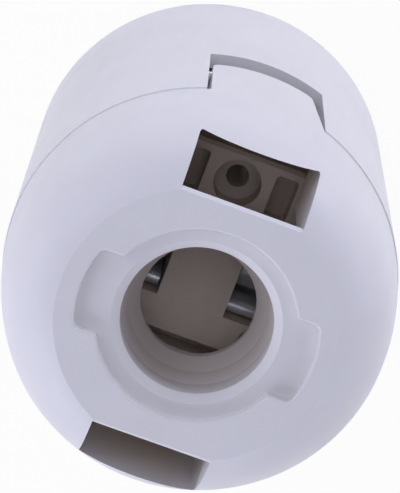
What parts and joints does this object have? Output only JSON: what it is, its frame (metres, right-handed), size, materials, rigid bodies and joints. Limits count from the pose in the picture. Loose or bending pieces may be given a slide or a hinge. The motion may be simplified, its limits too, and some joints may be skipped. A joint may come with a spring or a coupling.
{
  "type": "screw lamp holder",
  "caption": "Upright cylindrical screw lamp holder with a clip-on domed wiring cap, a stepped cord bore, tool windows and push-in terminals inside.",
  "frame": {"origin": "centre of the lamp mouth's rim, on the lamp axis", "axes": "+Z along the lamp axis from the mouth to the cap, Y through both tool windows and snap tabs"},
  "size_m": [0.0432, 0.0432, 0.0605],
  "materials": {
    "white_plastic": "satin moulded white",
    "beige_plastic": "matt moulded beige",
    "tinned_metal": "tinned, bright",
    "spring_steel": "bright stainless strip",
    "contact_bronze": "phosphor bronze strip",
    "rivet_brass": "plain brass",
    "screw_steel": "zinc plated"
  },
  "bodies": {
    "holder": {"outer_shell": "white_plastic", "terminal_block": "beige_plastic", "contact_plate": "beige_plastic", "line_terminal_bar": "tinned_metal", "neutral_terminal_bar": "tinned_metal", "line_rivet": "rivet_brass", "neutral_rivet": "rivet_brass", "block_screw_front": "screw_steel", "block_screw_back": "screw_steel"},
    "cap": {"cap": "white_plastic"},
    "centre_contact": {"centre_contact": "contact_bronze"},
    "side_contact": {"side_contact": "contact_bronze"},
    "line_clamp_inner": {"line_clamp_inner": "spring_steel"},
    "line_clamp_outer": {"line_clamp_outer": "spring_steel"},
    "neutral_clamp_inner": {"neutral_clamp_inner": "spring_steel"},
    "neutral_clamp_outer": {"neutral_clamp_outer": "spring_steel"}
  },
  "joints": [
    {"name": "cap_pull", "type": "slide", "parent": "holder", "child": "cap", "axis": [0, 0, 1], "range_m": [0, 0.02]},
    {"name": "centre_contact_press", "type": "hinge", "parent": "holder", "child": "centre_contact", "pos_m": [0.0072, 0, 0.0316], "axis": [0, 1, 0], "range_deg": [0, 9], "stiffness_Nm_per_rad": 0.12, "springref_deg": -4.01},
    {"name": "side_contact_press", "type": "hinge", "parent": "holder", "child": "side_contact", "pos_m": [-0.0112, 0, 0.0316], "axis": [0, 1, 0], "range_deg": [0, 7], "stiffness_Nm_per_rad": 0.1, "springref_deg": -3.44},
    {"name": "line_clamp_inner_open", "type": "hinge", "parent": "holder", "child": "line_clamp_inner", "pos_m": [0.0058, 0.0025, 0.0426], "axis": [1, 0, 0], "range_deg": [0, 16], "stiffness_Nm_per_rad": 0.05, "springref_deg": -11.46},
    {"name": "line_clamp_outer_open", "type": "hinge", "parent": "holder", "child": "line_clamp_outer", "pos_m": [0.01, 0.0025, 0.0426], "axis": [1, 0, 0], "range_deg": [0, 16], "stiffness_Nm_per_rad": 0.05, "springref_deg": -11.46},
    {"name": "neutral_clamp_inner_open", "type": "hinge", "parent": "holder", "child": "neutral_clamp_inner", "pos_m": [-0.0058, 0.0025, 0.0426], "axis": [1, 0, 0], "range_deg": [0, 16], "stiffness_Nm_per_rad": 0.05, "springref_deg": -11.46},
    {"name": "neutral_clamp_outer_open", "type": "hinge", "parent": "holder", "child": "neutral_clamp_outer", "pos_m": [-0.01, 0.0025, 0.0426], "axis": [1, 0, 0], "range_deg": [0, 16], "stiffness_Nm_per_rad": 0.05, "springref_deg": -11.46}
  ]
}
